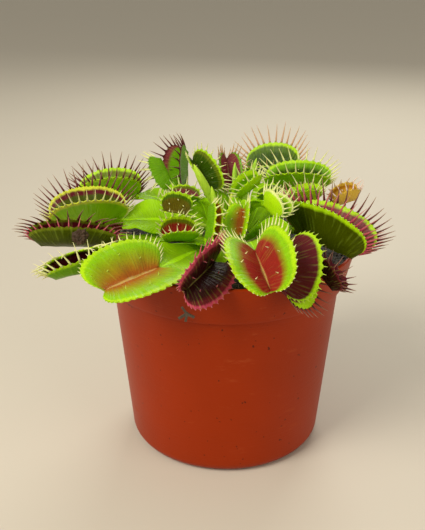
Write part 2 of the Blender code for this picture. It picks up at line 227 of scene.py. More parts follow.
LOOKS = {
    "leaf_left_upper": Look(BRIGHT, DARK_OLIVE, MAROON, YELLOW, MAROON, CREAM, 7.5, 4.6, 0.76),
    "leaf_left_rear": Look(BRIGHT, LEAF_GREEN, OLIVE, LIME, MAROON, MAROON, 6.5, 6.0),
    "leaf_left_dark": Look(DARK_OLIVE, MAROON, MAROON, OLIVE, MAROON, PINK, 7.5, 3.2),
    "leaf_left_low": Look(LEAF_GREEN, MAROON, NIGHT, LIME, CREAM, CREAM, 7.0, 6.0),
    "leaf_front_left": Look(LIME, RUST, BRIGHT, LIME, CREAM, LIME, 4.0, 2.0, 0.14, 0.7),
    # The NIGHT inside of leaf_front_dark is painted shade: a darker copy of the red inside of
    # leaf_front_centre, for a trap that lies in shade.
    "leaf_front_dark": Look(SIENNA, NIGHT, BURGUNDY, PINK, PINK, PINK, 4.2, 1.0),
    "leaf_front_centre": Look(LIME, ROSE, BRIGHT, LIME, CREAM, CREAM, 5.5, 5.5, 0.54, 0.8),
    "leaf_centre_small": Look(LIME, RUST, BRIGHT, LIME, CREAM, CREAM, 4.0, 3.5, 0.3),
    "leaf_right_round": Look(BURGUNDY, MAUVE, LIME, LIME, MAROON, LIME, 5.0, 1.6),
    "leaf_right_low": Look(NIGHT, NIGHT, MAROON, MAROON, MAROON, MAROON, 4.0, 3.2),
    "leaf_right_open": Look(DARK_OLIVE, MAUVE, MAUVE, LIME, MAROON, PINK, 8.0, 7.5),
    "leaf_right_upper": Look(BRIGHT, DEEP_GREEN, LEAF_GREEN, LIME, CREAM, CREAM, 6.0, 4.5),
    "leaf_right_middle": Look(LIME, LEAF_GREEN, LIME, LIME, CREAM, CREAM, 4.5, 4.0),
    "leaf_right_inner": Look(LEAF_GREEN, MOSS, MOSS, LIME, CREAM, CREAM, 2.4, 2.4),
    "leaf_right_front": Look(LIME, LEAF_GREEN, LIME, CREAM, CREAM, CREAM, 4.0, 4.0),
    "leaf_centre_rear": Look(LIME, LEAF_GREEN, LIME, LIME, CREAM, CREAM, 4.5, 4.0),
    "leaf_rear_right": Look(LEAF_GREEN, DEEP_GREEN, MOSS, LIME, TAN, TAN, 8.0, 4.5),
    "leaf_rear_centre": Look(LEAF_GREEN, MAUVE, MAUVE, LEAF_GREEN, TAN, TAN, 5.0, 5.0),
    "leaf_rear_left": Look(LEAF_GREEN, LEAF_GREEN, MAUVE, MAROON, MAROON, MAROON, 6.5, 6.5),
    "leaf_rear_small": Look(LEAF_GREEN, MOSS, OLIVE, LEAF_GREEN, CREAM, CREAM, 4.5, 4.5),
    "leaf_rear_half_open": Look(LIME, DEEP_GREEN, OLIVE, LIME, CREAM, CREAM, 3.5, 3.0),
    "leaf_centre_cup": Look(BRIGHT, RUSSET, MOSS, LIME, CREAM, CREAM, 2.2, 2.0),
    "leaf_centre_left": Look(BRIGHT, MAUVE, OLIVE, LIME, CREAM, CREAM, 3.6, 3.0),
    "leaf_front_inner": Look(BRIGHT, ROSE, OLIVE, LIME, CREAM, CREAM, 4.0, 3.0),
    "leaf_front_closed": Look(LEAF_GREEN, AMBER, AMBER, LIME, CREAM, CREAM, 4.5, 4.0),
    "leaf_right_old": Look(STRAW, STRAW, AMBER, STRAW, BLUSH, BLUSH, 4.0, 4.0),
}


class Bud(NamedTuple):
    """One unopened young leaf, a tapered finger from the crown to its tip."""

    name: str
    ring: int
    bearing: float
    tip: tuple
    radius: float
    colour: tuple


BUDS = (
    Bud("young_leaf_tall", 3, 134, (-11, -2, 101), 1.9, LIME),
    Bud("young_leaf_middle", 3, 206, (-5, -4, 94), 1.1, LIME),
    Bud("young_leaf_left", 2, 234, (-14, -12, 84), 1.4, LIME),
    Bud("young_leaf_rear", 2, 66, (3, 12, 98), 1.3, BRIGHT),
    Bud("young_leaf_yellow", 3, 66, (2, 3, 90), 1.1, YELLOW),
    Bud("young_leaf_right", 1, 66, (11, 22, 97), 1.2, BRIGHT),
    Bud("young_leaf_front", 0, 274, (3, -38, 77), 1.2, LIME),
)


class PotSizes(bpy.types.PropertyGroup):
    """What a user would change about the pot."""

    rim_radius: FloatProperty(
        name="Rim radius", description="Outer radius of the lip", default=POT_HIGH.x, unit="LENGTH"
    )
    height: FloatProperty(
        name="Height", description="From the table to the lip", default=POT_HIGH.z, unit="LENGTH"
    )
    colour: FloatVectorProperty(
        name="Plastic", description="Colour of the pot", subtype="COLOR", default=rgb(150, 44, 0)
    )


class SoilSizes(bpy.types.PropertyGroup):
    """What a user would change about the soil."""

    colour: FloatVectorProperty(
        name="Peat", description="Colour of the soil", subtype="COLOR", default=rgb(38, 28, 18)
    )
    crumbs: IntProperty(name="Crumbs", description="Crumbs on a square metre", default=260000, min=0)
    perlite: IntProperty(name="Perlite", description="Pale grains on a square metre", default=9000, min=0)
    seed: IntProperty(name="Seed", description="Which way the grains fall", default=4, min=0)


class LeafSizes(bpy.types.PropertyGroup):
    """What a user would change about the leaves."""

    blade: FloatProperty(
        name="Blade", description="Thickness of a lobe near its midrib", default=0.0008, unit="LENGTH"
    )
    scallop: FloatProperty(
        name="Scallop", description="How far the margin reaches into a bristle", default=0.0007, unit="LENGTH"
    )
    bristle: FloatProperty(
        name="Bristle", description="Radius of a bristle at its foot", default=0.00038, unit="LENGTH"
    )
    spacing: FloatProperty(
        name="Spacing", description="From one bristle to the next", default=0.0018, unit="LENGTH"
    )
    wing: FloatVectorProperty(
        name="Wing", description="Colour of the leaf stalks", subtype="COLOR", default=rgb(158, 210, 8)
    )


class StageSizes(bpy.types.PropertyGroup):
    """What a user would change about the floor and the light."""

    floor: FloatVectorProperty(
        name="Floor", description="Colour of the floor", subtype="COLOR", default=rgb(206, 196, 180)
    )
    key_power: FloatProperty(
        name="Key light", description="Power of the main light", default=5.0, min=0.0, unit="POWER"
    )


class Wire:
    """A node's output that can be used in sums: each operator adds the node that works it out."""

    def __init__(self, tree, socket):
        self.tree = tree
        self.socket = socket

    def output(self, name):
        """Another output of the same node."""
        return Wire(self.tree, self.socket.node.outputs[name])

    def sum(self, operation, first, second):
        return self.tree.node("ShaderNodeMath", {"operation": operation}, {0: first, 1: second})

    def __add__(self, other):
        return self.sum("ADD", self, other)

    __radd__ = __add__

    def __sub__(self, other):
        return self.sum("SUBTRACT", self, other)

    def __mul__(self, other):
        return self.sum("MULTIPLY", self, other)

    __rmul__ = __mul__

    def above(self, limit):
        return self.sum("GREATER_THAN", self, limit)

    def fade(self, low, high):
        """0 below low, 1 above high, and a smooth step between them."""
        settings = {"interpolation_type": "SMOOTHSTEP"}
        sockets = {"Value": self, "From Min": low, "From Max": high}
        return self.tree.node("ShaderNodeMapRange", settings, sockets)


class Tree:
    """A node tree being made."""

    def __init__(self, nodes):
        self.nodes = nodes

    def node(self, kind, settings=None, sockets=None):
        """Adds a node with its settings, then the values or wires of its sockets; gives its first output."""
        made = self.nodes.nodes.new(kind)
        for name, value in (settings or {}).items():
            if name == "stops":
                self.stops(made.color_ramp, value)
            else:
                setattr(made, name, value)
        for name, value in (sockets or {}).items():
            self.put(made.inputs[name], value)
        shown = [s for s in made.outputs if s.enabled]
        return Wire(self, shown[0]) if shown else made

    def stops(self, ramp, stops):
        while len(ramp.elements) < len(stops):
            ramp.elements.new(1.0)
        for element, (place, colour) in zip(ramp.elements, stops):
            element.position = place
            element.color = (*colour, 1.0)

    def put(self, socket, value):
        for one in value if isinstance(value, list) else [value]:
            if isinstance(one, Wire):
                self.nodes.links.new(one.socket, socket)
            elif socket.type == "RGBA" and len(one) == 3:
                socket.default_value = (*one, 1.0)
            else:
                socket.default_value = one


class Finish(Tree):
    """A material being made, with the patterns that its surfaces share."""

    def __init__(self, name):
        self.material = bpy.data.materials.new(name)
        self.material.use_nodes = True
        super().__init__(self.material.node_tree)
        self.shader = self.nodes.nodes["Principled BSDF"]
        self.place = self.node("ShaderNodeTexCoord").output("Object")

    def set(self, **values):
        """Sets the shader's sockets, named with _ for a space."""
        for name, value in values.items():
            self.put(self.shader.inputs[name.replace("_", " ")], value)

    def attribute(self, name):
        return self.node("ShaderNodeAttribute", {"attribute_name": name}).output("Fac")

    def noise(self, scale, detail=2.0, at=None, rough=0.5):
        sockets = {"Vector": at or self.place, "Scale": scale, "Detail": detail, "Roughness": rough}
        return self.node("ShaderNodeTexNoise", None, sockets)

    def stretched(self, scale):
        """The object's coordinates with each axis scaled by its own number."""
        return self.node("ShaderNodeMapping", None, {"Vector": self.place, "Scale": scale})

    def mix(self, share, first, second, blend="MIX"):
        made = self.nodes.nodes.new("ShaderNodeMix")
        made.data_type = "RGBA"
        made.blend_type = blend
        self.put(made.inputs[0], share)
        self.put(made.inputs[6], first)
        self.put(made.inputs[7], second)
        return Wire(self, made.outputs[2])

    def ramp(self, value, *stops):
        return self.node("ShaderNodeValToRGB", {"stops": stops}, {"Fac": value})

    def bump(self, height, depth):
        self.set(Normal=self.node("ShaderNodeBump", None, {"Height": height, "Distance": depth}))


def shade(colour, share):
    return tuple(c * share for c in colour)


def pot_plastic(colour):
    """Moulded terracotta-coloured plastic: satin, with faint scuffs, dust specks and turning lines."""
    made = Finish("pot_plastic")
    cloud = made.noise(38.0)
    scuff = made.noise(90.0, 4.0, made.stretched((1.0, 1.0, 3.4)), 0.7).fade(0.60, 0.74)
    speck = made.noise(620.0, 1.0).fade(0.735, 0.76)
    lathe = made.noise(1.0, 2.0, made.stretched((12.0, 12.0, 2600.0)))
    base = made.mix(cloud, shade(colour, 0.86), shade(colour, 1.1))
    worn = made.mix(scuff * 0.10, base, rgb(214, 122, 70))
    made.set(Base_Color=made.mix(speck * 0.7, worn, rgb(52, 24, 12)))
    made.set(Roughness=cloud * 0.10 + scuff * 0.14 + 0.36)
    made.shader.inputs["Specular IOR Level"].default_value = 0.13
    made.bump(lathe * 0.35 + made.noise(1500.0, 1.0) * 0.3 + cloud * 0.6, 0.00012)
    return made.material


def peat(name, colour):
    """Damp peat: nearly black, with brown fibres and a broken surface."""
    made = Finish(name)
    clod = made.noise(420.0, 4.0, rough=0.65)
    strand = made.noise(300.0, 2.0, made.stretched((1.0, 5.0, 2.0)))
    base = made.mix(clod, shade(colour, 0.35), shade(colour, 1.7))
    made.set(Base_Color=made.mix(strand.fade(0.60, 0.72) * 0.7, base, rgb(112, 84, 54)))
    made.set(Roughness=clod * 0.3 + 0.6)
    made.bump(clod + strand * 0.4, 0.0008)
    return made.material


def dry_surface(name, dark, pale, stretch, depth):
    """A dull dry surface: pitted, or fibrous where the pattern is stretched."""
    made = Finish(name)
    grain = made.noise(900.0, 3.0, made.stretched((1.0, 1.0, stretch)))
    made.set(Base_Color=made.mix(grain, dark, pale), Roughness=grain * 0.2 + 0.7)
    made.bump(grain, depth)
    return made.material


def living_sheen(made, grain, gloss):
    """The soft gloss and the glow of living leaf tissue."""
    made.set(Roughness=grain * 0.22 + gloss, Subsurface_Weight=0.16)
    made.shader.inputs["Specular IOR Level"].default_value = 0.12
    made.shader.inputs["Subsurface Radius"].default_value = (0.9, 1.0, 0.2)
    made.shader.inputs["Subsurface Scale"].default_value = 0.0016


def trap_tissue(name, look, wing):
    """A leaf's skin: winged stalk, keeled outside and flushed inside, with a band and a pale rim."""
    made = Finish(name)
    across, arc, trap, inner = (made.attribute(n) for n in ("across", "arc", "trap", "inner"))
    cloud = made.noise(150.0, 3.0)
    grain = made.noise(1400.0, 2.0)
    streaks = made.node("ShaderNodeCombineXYZ", None, {0: arc * 46.0, 1: across * 1.4, 2: trap * 7.0})
    vein = made.noise(1.0, 2.0, streaks)
    edge = across + (vein - 0.5) * 0.05 + (cloud - 0.5) * 0.12
    inside = made.ramp(
        edge,
        (0.0, made_pale(look.inside)), (0.02, made_pale(look.inside)), (0.07, look.inside),
        (look.flush, look.inside), (0.80, look.band), (0.88, look.band), (0.94, look.rim), (1.0, look.rim),
    )
    outside = made.ramp(
        edge,
        (0.0, shade(look.outside, 0.8)), (0.12, look.outside),
        (0.86, look.outside), (0.94, look.rim), (1.0, look.rim),
    )
    stalk = made.ramp(
        edge,
        (0.0, shade(wing, 1.25)), (0.07, shade(wing, 1.2)), (0.12, shade(wing, 0.74)), (1.0, wing),
    )
    lobe = made.mix(inner, outside, inside)
    flesh = made.mix(trap, stalk, lobe)
    veined = made.mix(vein.fade(0.52, 0.68) * 0.10, flesh, (0.55, 0.75, 0.08))
    mottled = made.mix(1.0, veined, made.mix(cloud, (0.74, 0.74, 0.72), (1.16, 1.16, 1.12)), "MULTIPLY")
    glands = made.noise(2400.0, 1.0).fade(0.60, 0.68) * inner * trap * 0.3
    made.set(Base_Color=made.mix(glands, mottled, shade(look.inside, 0.4)))
    living_sheen(made, grain, 0.24)
    made.bump(vein * 0.8 + grain * 0.25 + cloud * 0.4, 0.00035)
    return made.material


def made_pale(colour):
    """The colour of the midrib inside a trap."""
    return tuple(0.55 * c + 0.45 * p for c, p in zip(colour, rgb(226, 214, 120)))


def bristle_skin(name, look):
    """Bristles shade from a rear and a front colour at the foot to a paler tip."""
    made = Finish(name)
    tone, along = made.attribute("tone"), made.attribute("along")
    colour = made.mix(tone, look.rear_bristle, look.front_bristle)
    tinted = made.mix(along * 0.30, colour, rgb(240, 200, 170))
    grain = made.noise(1800.0, 2.0)
    made.set(Base_Color=made.mix(grain * 0.35, tinted, shade(look.rear_bristle, 0.6)))
    living_sheen(made, grain, 0.3)
    made.bump(grain, 0.0001)
    return made.material


def bud_skin(name, colour):
    made = Finish(name)
    along = made.attribute("along")
    cloud = made.noise(260.0, 3.0)
    ridge = made.noise(1.0, 2.0, made.stretched((1500.0, 1500.0, 160.0)))
    base = made.mix(along, shade(colour, 0.62), colour)
    made.set(Base_Color=made.mix(cloud * 0.5, base, rgb(228, 240, 120)))
    living_sheen(made, cloud, 0.24)
    made.bump(ridge + cloud * 0.5, 0.0003)
    return made.material


def crown_skin():
    made = Finish("crown")
    scale = made.noise(1.0, 2.0, made.stretched((240.0, 240.0, 900.0)))
    made.set(Base_Color=made.mix(scale, rgb(84, 74, 30), rgb(190, 204, 110)))
    living_sheen(made, scale, 0.4)
    made.bump(scale, 0.0006)
    return made.material


def floor_surface(colour):
    made = Finish("floor")
    cloud = made.noise(9.0)
    made.set(Base_Color=made.mix(cloud, shade(colour, 0.97), colour), Roughness=cloud * 0.1 + 0.6)
    return made.material


def bezier(a, b, c, d, t):
    """The point and the unit direction of a cubic at t."""
    u = 1 - t
    point = a * u**3 + b * 3 * u * u * t + c * 3 * u * t * t + d * t**3
    along = (b - a) * u * u + (c - b) * 2 * u * t + (d - c) * t * t
    return point, along.normalized()


def smooth(t):
    t = min(1.0, max(0.0, t))
    return t * t * (3 - 2 * t)


def upright(direction, hint):
    """The part of hint across direction, made a unit vector."""
    return (hint - direction * hint.dot(direction)).normalized()


def crown_height(radius):
    """The top of the crown at this distance from its middle."""
    return SOIL_TOP + SOIL_GAP + CROWN_HEIGHT * (1 - (radius / CROWN_RADIUS) ** 2)


def crown_seat(ring, bearing):
    """Where a leaf leaves the crown, and the direction it leaves in."""
    radius = CROWN_RINGS[ring]
    angle = math.radians(bearing)
    rise = math.radians(LEAF_RISE[ring])
    out = Vector((math.cos(angle), math.sin(angle), 0))
    place = out * radius + Vector((0, 0, crown_height(radius) + CROWN_CLEARANCE))
    return place, out * math.cos(rise) + Vector((0, 0, math.sin(rise)))


def lobe_offset(root, margin, share):
    """How far out and up a lobe reaches at this share of its width, for a width of one."""
    bend = margin - root
    if abs(bend) < 1e-4:
        return share * math.sin(root), share * math.cos(root)
    turn = root + bend * share
    return (math.cos(root) - math.cos(turn)) / bend, (math.sin(turn) - math.sin(root)) / bend


class Row(NamedTuple):
    """A cross-section of a leaf. The reach says how far along the leaf its margin stands ahead."""

    middle: Vector
    along: Vector
    side: Vector
    up: Vector
    half: float
    root: float
    margin: float
    reach: float
    trap: float
    arc: float


def stalk_row(leaf, t, start, out, seat, along, opening):
    handle = (seat - start).length * 0.38
    point, way = bezier(start, start + out * handle, seat - along * handle, seat, t)
    up = upright(way, Vector(leaf.face).lerp(opening, smooth(t)))
    wide = smooth(t / 0.62) * (1 - smooth((t - 0.80) / 0.19))
    base = HEEL + (NECK - HEEL) * smooth(t)
    half = base + (leaf.wing - base) * wide
    root, margin = (math.radians(a) for a in STALK_ANGLES)
    blend = smooth((t - 0.88) / 0.12)
    root += (math.radians(leaf.root) - root) * blend
    margin += (math.radians(leaf.margin) - margin) * blend
    return Row(point, way, way.cross(up), up, half, root, margin, half * 0.45 * wide, 0.0, t)


def trap_row(leaf, share, seat, along, length, opening):
    turn = math.pi * share
    ahead = length * (1 - math.cos(turn)) / 2
    half = leaf.width * (0.1 + 0.9 * math.sin(turn) ** ROUNDNESS)
    reach = -NOTCH * length * (math.sin(2 * turn) + SWEEP * math.cos(turn))
    side = along.cross(opening)
    root, margin = math.radians(leaf.root), math.radians(leaf.margin)
    return Row(seat + along * ahead, along, side, opening, half, root, margin, reach, 1.0, share)


def leaf_rows(leaf, trap_rows):
    """The cross-sections of a leaf from the crown to the trap's far end."""
    start, out = crown_seat(leaf.ring, leaf.bearing)
    seat = Vector(leaf.seat)
    midrib = Vector(leaf.tip) - seat
    along = midrib.normalized()
    opening = upright(along, Vector(leaf.mouth))
    rows = [stalk_row(leaf, k / STALK_ROWS, start, out, seat, along, opening) for k in range(STALK_ROWS)]
    for k in range(trap_rows + 1):
        rows.append(trap_row(leaf, k / trap_rows, seat, along, midrib.length, opening))
    return rows


def sheet_point(row, share, phase):
    """A point of the leaf's middle surface."""
    out, rise = lobe_offset(row.root, row.margin, abs(share))
    across = row.side * math.copysign(out * row.half, share)
    point = row.middle + across + row.up * rise * row.half + row.along * row.reach * abs(share)
    if row.trap == 0.0:
        wave = math.sin(row.arc * 17.0 + phase + (1.4 if share > 0 else 0.0))
        return point + row.up * wave * row.half * 0.09 * share * share
    return point


def leaf_sheet(rows, phase):
    """The middle surface of a leaf as a grid, and at each point the unit normal of its cross-section."""
    shares = [k / LOBE_STEPS for k in range(-LOBE_STEPS, LOBE_STEPS + 1)]
    grid = [[sheet_point(row, share, phase) for share in shares] for row in rows]
    last = len(shares) - 1
    normals = []
    for row, line in zip(rows, grid):
        spans = [line[min(j + 1, last)] - line[max(j - 1, 0)] for j in range(last + 1)]
        normals.append([span.cross(row.along).normalized() for span in spans])
    return shares, grid, normals


def bristle_count(leaf, spacing):
    """How many bristles one lobe's margin has room for."""
    steps = 24
    rim = [sheet_point(row, 1.0, 0.0) for row in leaf_rows(leaf, steps)[STALK_ROWS:]]
    length = sum((b - a).length for a, b in zip(rim, rim[1:]))
    return max(6, round(length / spacing))


def relief(row, share, point):
    """How far the blade swells from its middle surface: gentle folds on the lobes, and a flared margin."""
    fold = noise.noise(point * 0.22) * RELIEF
    flare = -FLARE * abs(share) ** 7 * row.half / 14
    return fold * min(1.0, row.half / 8) + (flare if row.trap else 0.0)


def thickness(row, share, blade):
    """Half the blade's thickness above and below its middle surface."""
    thin = 1 - 0.5 * abs(share) ** 0.8
    upper = blade / 2 * thin
    keel = (TRAP_KEEL if row.trap else STALK_KEEL) * math.exp(-((share * row.half / KEEL_WIDTH) ** 2))
    return upper, blade / 2 * thin + keel


def leaf_blade(leaf, look, sizes):
    """The leaf's blade as points and faces in millimetres, each point's pattern values, and its bristles."""
    draw = random.Random(leaf.name)
    phase = draw.uniform(0, 6)
    blade, scallop = sizes.blade / MM, sizes.scallop / MM
    bristles = bristle_count(leaf, sizes.spacing / MM)
    rows = leaf_rows(leaf, bristles * ROWS_PER_BRISTLE)
    shares, grid, normals = leaf_sheet(rows, phase)
    columns = len(shares)
    count = len(grid) * columns
    tops, bottoms, values = [], [], {"across": [], "arc": [], "trap": []}
    for i, row in enumerate(rows):
        beat = math.cos(math.pi * ((i - STALK_ROWS) / ROWS_PER_BRISTLE - 0.5)) ** 2 if row.trap else 0.0
        for j, share in enumerate(shares):
            point, normal = grid[i][j], normals[i][j]
            inner = grid[i][min(max(j, 1), columns - 2)]
            if j in (0, columns - 1):
                point = point + (point - inner).normalized() * scallop * (beat - 0.3) * bool(row.trap)
            lift = relief(row, share, point)
            upper, lower = thickness(row, share, blade)
            tops.append(point + normal * (lift + upper))
            bottoms.append(point + normal * (lift - lower))
            values["across"].append(abs(share))
            values["arc"].append(row.arc)
            values["trap"].append(row.trap)
    faces = blade_faces(len(grid), columns, count)
    seeds = bristle_seeds(look, rows, grid, normals, draw) + trigger_seeds(rows, grid, normals)
    values = {name: both * 2 for name, both in values.items()}
    values["inner"] = [1.0] * count + [0.0] * count
    return tops + bottoms, faces, values, seeds


def blade_faces(row_count, columns, count):
    faces = []
    for i in range(row_count - 1):
        for j in range(columns - 1):
            a = i * columns + j
            quad = (a, a + 1, a + columns + 1, a + columns)
            faces += [quad, tuple(count + v for v in reversed(quad))]
        for j in (0, columns - 1):
            a, b = i * columns + j, (i + 1) * columns + j
            faces.append((a, b, count + b, count + a))
    for i in (0, row_count - 1):
        for j in range(columns - 1):
            a = i * columns + j
            faces.append((a, a + 1, count + a + 1, count + a))
    return faces


class Seed(NamedTuple):
    """Where a bristle stands, which way it points and curls, how long it is and how it is coloured."""

    foot: Vector
    aim: Vector
    curl: Vector
    size: float
    tone: float


def bristle_seeds(look, rows, grid, normals, draw):
    """Where the bristles stand on both margins; the lobe nearer the front has its own look."""
    side = rows[-1].side
    front = side.y < 0 or (abs(side.y) < 0.3 and side.x > 0)
    seeds = []
    half_step = ROWS_PER_BRISTLE // 2
    for i in range(STALK_ROWS + half_step, len(rows), ROWS_PER_BRISTLE):
        for j, inner in ((0, 1), (len(grid[0]) - 1, len(grid[0]) - 2)):
            tone = float((j > 0) == front)
            turn = math.pi * rows[i].arc
            outward = (grid[i][j] - grid[i][inner]).normalized()
            fan = rows[i].along * -math.cos(turn) * BRISTLE_FAN
            jitter = Vector([draw.uniform(-0.09, 0.09) for _ in range(3)])
            size = look.front_length if tone else look.rear_length
            size *= (0.5 + 0.5 * math.sin(turn) ** 0.7) * draw.uniform(0.86, 1.08)
            size *= 1 - look.fade * smooth(rows[i].arc * 1.3)
            curl = normals[i][j] * size * draw.uniform(0.10, 0.24)
            foot = grid[i][j] + normals[i][j] * relief(rows[i], 1.0, grid[i][j])
            seeds.append(Seed(foot, (outward + fan + jitter).normalized(), curl, size, tone))
    return seeds


def trigger_seeds(rows, grid, normals):
    """Three short trigger hairs on the inside of each lobe."""
    seeds = []
    trap = len(rows) - STALK_ROWS
    middle = len(grid[0]) // 2
    for sign in (-1, 1):
        for arc, share in TRIGGERS:
            i = STALK_ROWS + round(arc * trap)
            j = middle + sign * round(share * LOBE_STEPS)
            seeds.append(Seed(grid[i][j], normals[i][j], Vector((0, 0, 0)), TRIGGER_LENGTH, 1.0))
    return seeds


def add_mesh(name, points, faces, surface, values=None, sharp_degrees=60):
    """An object from points in millimetres, its faces turned outward, with a value of each name per point."""
    mesh = bpy.data.meshes.new(name)
    mesh.from_pydata([[c * MM for c in p] for p in points], [], faces)
    for key, numbers in (values or {}).items():
        if isinstance(numbers[0], float):
            mesh.attributes.new(key, "FLOAT", "POINT").data.foreach_set("value", numbers)
        else:
            flat = [c for vector in numbers for c in vector]
            mesh.attributes.new(key, "FLOAT_VECTOR", "POINT").data.foreach_set("vector", flat)
    edit = bmesh.new()
    edit.from_mesh(mesh)
    bmesh.ops.recalc_face_normals(edit, faces=edit.faces)
    edit.to_mesh(mesh)
    edit.free()
    mesh.shade_smooth()
    mesh.set_sharp_from_angle(angle=math.radians(sharp_degrees))
    mesh.materials.append(surface)
    made = bpy.data.objects.new(name, mesh)
    bpy.context.scene.collection.objects.link(made)
    return made


def turned(profile, sides):
    """Points and faces of a profile, a list of (radius, z) that begins and ends on the axis."""
    points = [(0, 0, profile[0][1])]
    inner = profile[1:-1]
    for radius, z in inner:
        for k in range(sides):
            angle = math.tau * k / sides
            points.append((radius * math.cos(angle), radius * math.sin(angle), z))
    points.append((0, 0, profile[-1][1]))
    faces = []
    for k in range(sides):
        after = (k + 1) % sides
        faces.append((0, 1 + after, 1 + k))
        for row in range(len(inner) - 1):
            low, high = 1 + row * sides, 1 + (row + 1) * sides
            faces.append((low + k, low + after, high + after, high + k))
        top = 1 + (len(inner) - 1) * sides
        faces.append((top + k, top + after, len(points) - 1))
    return points, faces


def arc_points(centre, radius, first, last, steps):
    """Points of a round corner, as (radius, z) pairs."""
    turns = [math.radians(first + (last - first) * k / steps) for k in range(steps + 1)]
    return [(centre[0] + radius * math.cos(t), centre[1] + radius * math.sin(t)) for t in turns]


def wall_radius(z):
    """The pot's outer radius at this height, without the collar."""
    return BASE_RADIUS + (BODY_TOP_RADIUS - BASE_RADIUS) * z / (RIM_HEIGHT - COLLAR_HEIGHT)


def pot_profile(rim_radius, height):
    foot = height - COLLAR_HEIGHT
    corner = wall_radius(BASE_ROUNDING) - BASE_ROUNDING
    lip = WALL / 2
    outside = [(0, 0), (26, 0), (26.6, 0.35), (28.4, 0.35), (29, 0)]
    outside += arc_points((corner, BASE_ROUNDING), BASE_ROUNDING, -90, 0, 10)
    outside += [(wall_radius(z), z) for z in (20, 35, 50)]
    outside += [(BODY_TOP_RADIUS, foot - 0.5), (BODY_TOP_RADIUS + 0.1, foot - 0.15)]
    collar = [
        (COLLAR_FOOT_RADIUS - 0.5, foot),
        (COLLAR_FOOT_RADIUS - 0.15, foot + 0.12),
        (COLLAR_FOOT_RADIUS, foot + 0.5),
        (COLLAR_FOOT_RADIUS + 0.26, foot + 1.3),
    ]
    lip_curve = arc_points((rim_radius - lip, height - lip), lip, -10, 190, 12)
    inside = [
        (COLLAR_FOOT_RADIUS - WALL, foot + 0.9),
        (BODY_TOP_RADIUS - WALL, foot - 0.4),
        (wall_radius(BASE_ROUNDING) - WALL, BASE_ROUNDING),
        (BASE_RADIUS - BASE_ROUNDING, WALL + 0.2),
        (0, WALL + 0.2),
    ]
    return outside + collar + lip_curve + inside


def plain_mesh(made):
    """Replaces an object's mesh with its evaluated one and removes its modifiers."""
    evaluated = made.evaluated_get(bpy.context.evaluated_depsgraph_get())
    mesh = bpy.data.meshes.new_from_object(evaluated)
    made.modifiers.clear()
    made.data = mesh
    return made


def make_pot(sizes):
    points, faces = turned(pot_profile(sizes.rim_radius / MM, sizes.height / MM), POT_SIDES)
    pot = add_mesh("flytrap_pot", points, faces, pot_plastic(tuple(sizes.colour)), sharp_degrees=38)
    for k in range(DRAIN_HOLES):
        angle = math.tau * (k + 0.5) / DRAIN_HOLES
        place = [DRAIN_CIRCLE * MM * math.cos(angle), DRAIN_CIRCLE * MM * math.sin(angle), 0]
        bpy.ops.mesh.primitive_cylinder_add(
            vertices=DRAIN_SIDES, radius=DRAIN_HOLE_RADIUS * MM, depth=CUTTER_DEPTH * MM, location=place
        )
        cut = pot.modifiers.new(f"drain_{k}", "BOOLEAN")
        cut.operation = "DIFFERENCE"
        cut.object = bpy.context.object
    cutters = [m.object for m in pot.modifiers]
    plain_mesh(pot)
    for cutter in cutters:
        bpy.data.objects.remove(cutter, do_unlink=True)
    return pot


def soil_height(x, y):
    """The soil's top: clods and hollows, level under the crown."""
    away = min(1.0, max(0.0, (math.hypot(x, y) - CROWN_RADIUS - 1) / 10))
    spot = Vector((x, y, 0))
    broad = noise.noise(spot * 0.11) * 0.5
    fine = noise.noise(spot * 0.6) * 0.35 + noise.noise(spot * 1.7) * 0.2
    return SOIL_TOP + away * (broad + fine)


def make_soil(sizes):
    foot = RIM_HEIGHT - COLLAR_HEIGHT
    slope = (RIM_RADIUS - COLLAR_FOOT_RADIUS) / COLLAR_HEIGHT
    brim = COLLAR_FOOT_RADIUS - WALL + slope * (SOIL_TOP - foot) - SOIL_GAP - 0.3
    side = [
        (0, WALL + 0.2 + SOIL_GAP),
        (BASE_RADIUS - BASE_ROUNDING - SOIL_GAP, WALL + 0.2 + SOIL_GAP),
        (wall_radius(BASE_ROUNDING) - WALL - SOIL_GAP, BASE_ROUNDING + SOIL_GAP),
        (BODY_TOP_RADIUS - WALL - SOIL_GAP, foot - 0.4),
        (COLLAR_FOOT_RADIUS - WALL - SOIL_GAP, foot + 1.4),
        (brim, SOIL_TOP - 0.5),
    ]
    rings = [(brim - 0.7 - k * 0.75, SOIL_TOP) for k in range(int(brim / 0.75) - 1)]
    points, faces = turned([*side, *rings, (0, SOIL_TOP)], SOIL_SIDES)
    for at in range(1 + (len(side) - 1) * SOIL_SIDES, len(points)):
        x, y, _ = points[at]
        points[at] = (x, y, soil_height(x, y))
    return add_mesh("flytrap_soil", points, faces, peat("peat_soil", tuple(sizes.colour)), sharp_degrees=80)


def geometry_tree(name, inputs):
    """A geometry tree with the named inputs, and the wires that come out of its input node."""
    nodes = bpy.data.node_groups.new(name, "GeometryNodeTree")
    nodes.interface.new_socket("Geometry", in_out="INPUT", socket_type="NodeSocketGeometry")
    for label, kind in inputs:
        nodes.interface.new_socket(label, in_out="INPUT", socket_type=f"NodeSocket{kind}")
    nodes.interface.new_socket("Geometry", in_out="OUTPUT", socket_type="NodeSocketGeometry")
    tree = Tree(nodes)
    return tree, tree.node("NodeGroupInput").output


def grow(piece, tree, values):
    """Puts the tree on a piece with its inputs' values, and keeps the plain mesh that comes out."""
    modifier = piece.modifiers.new("grow", "NODES")
    modifier.node_group = tree
    for item in tree.interface.items_tree:
        if item.in_out == "INPUT" and item.name in values:
            modifier[item.identifier] = values[item.name]
    return plain_mesh(piece)


def named(tree, name, kind="FLOAT"):
    return tree.node("GeometryNodeInputNamedAttribute", {"data_type": kind}, {"Name": name})


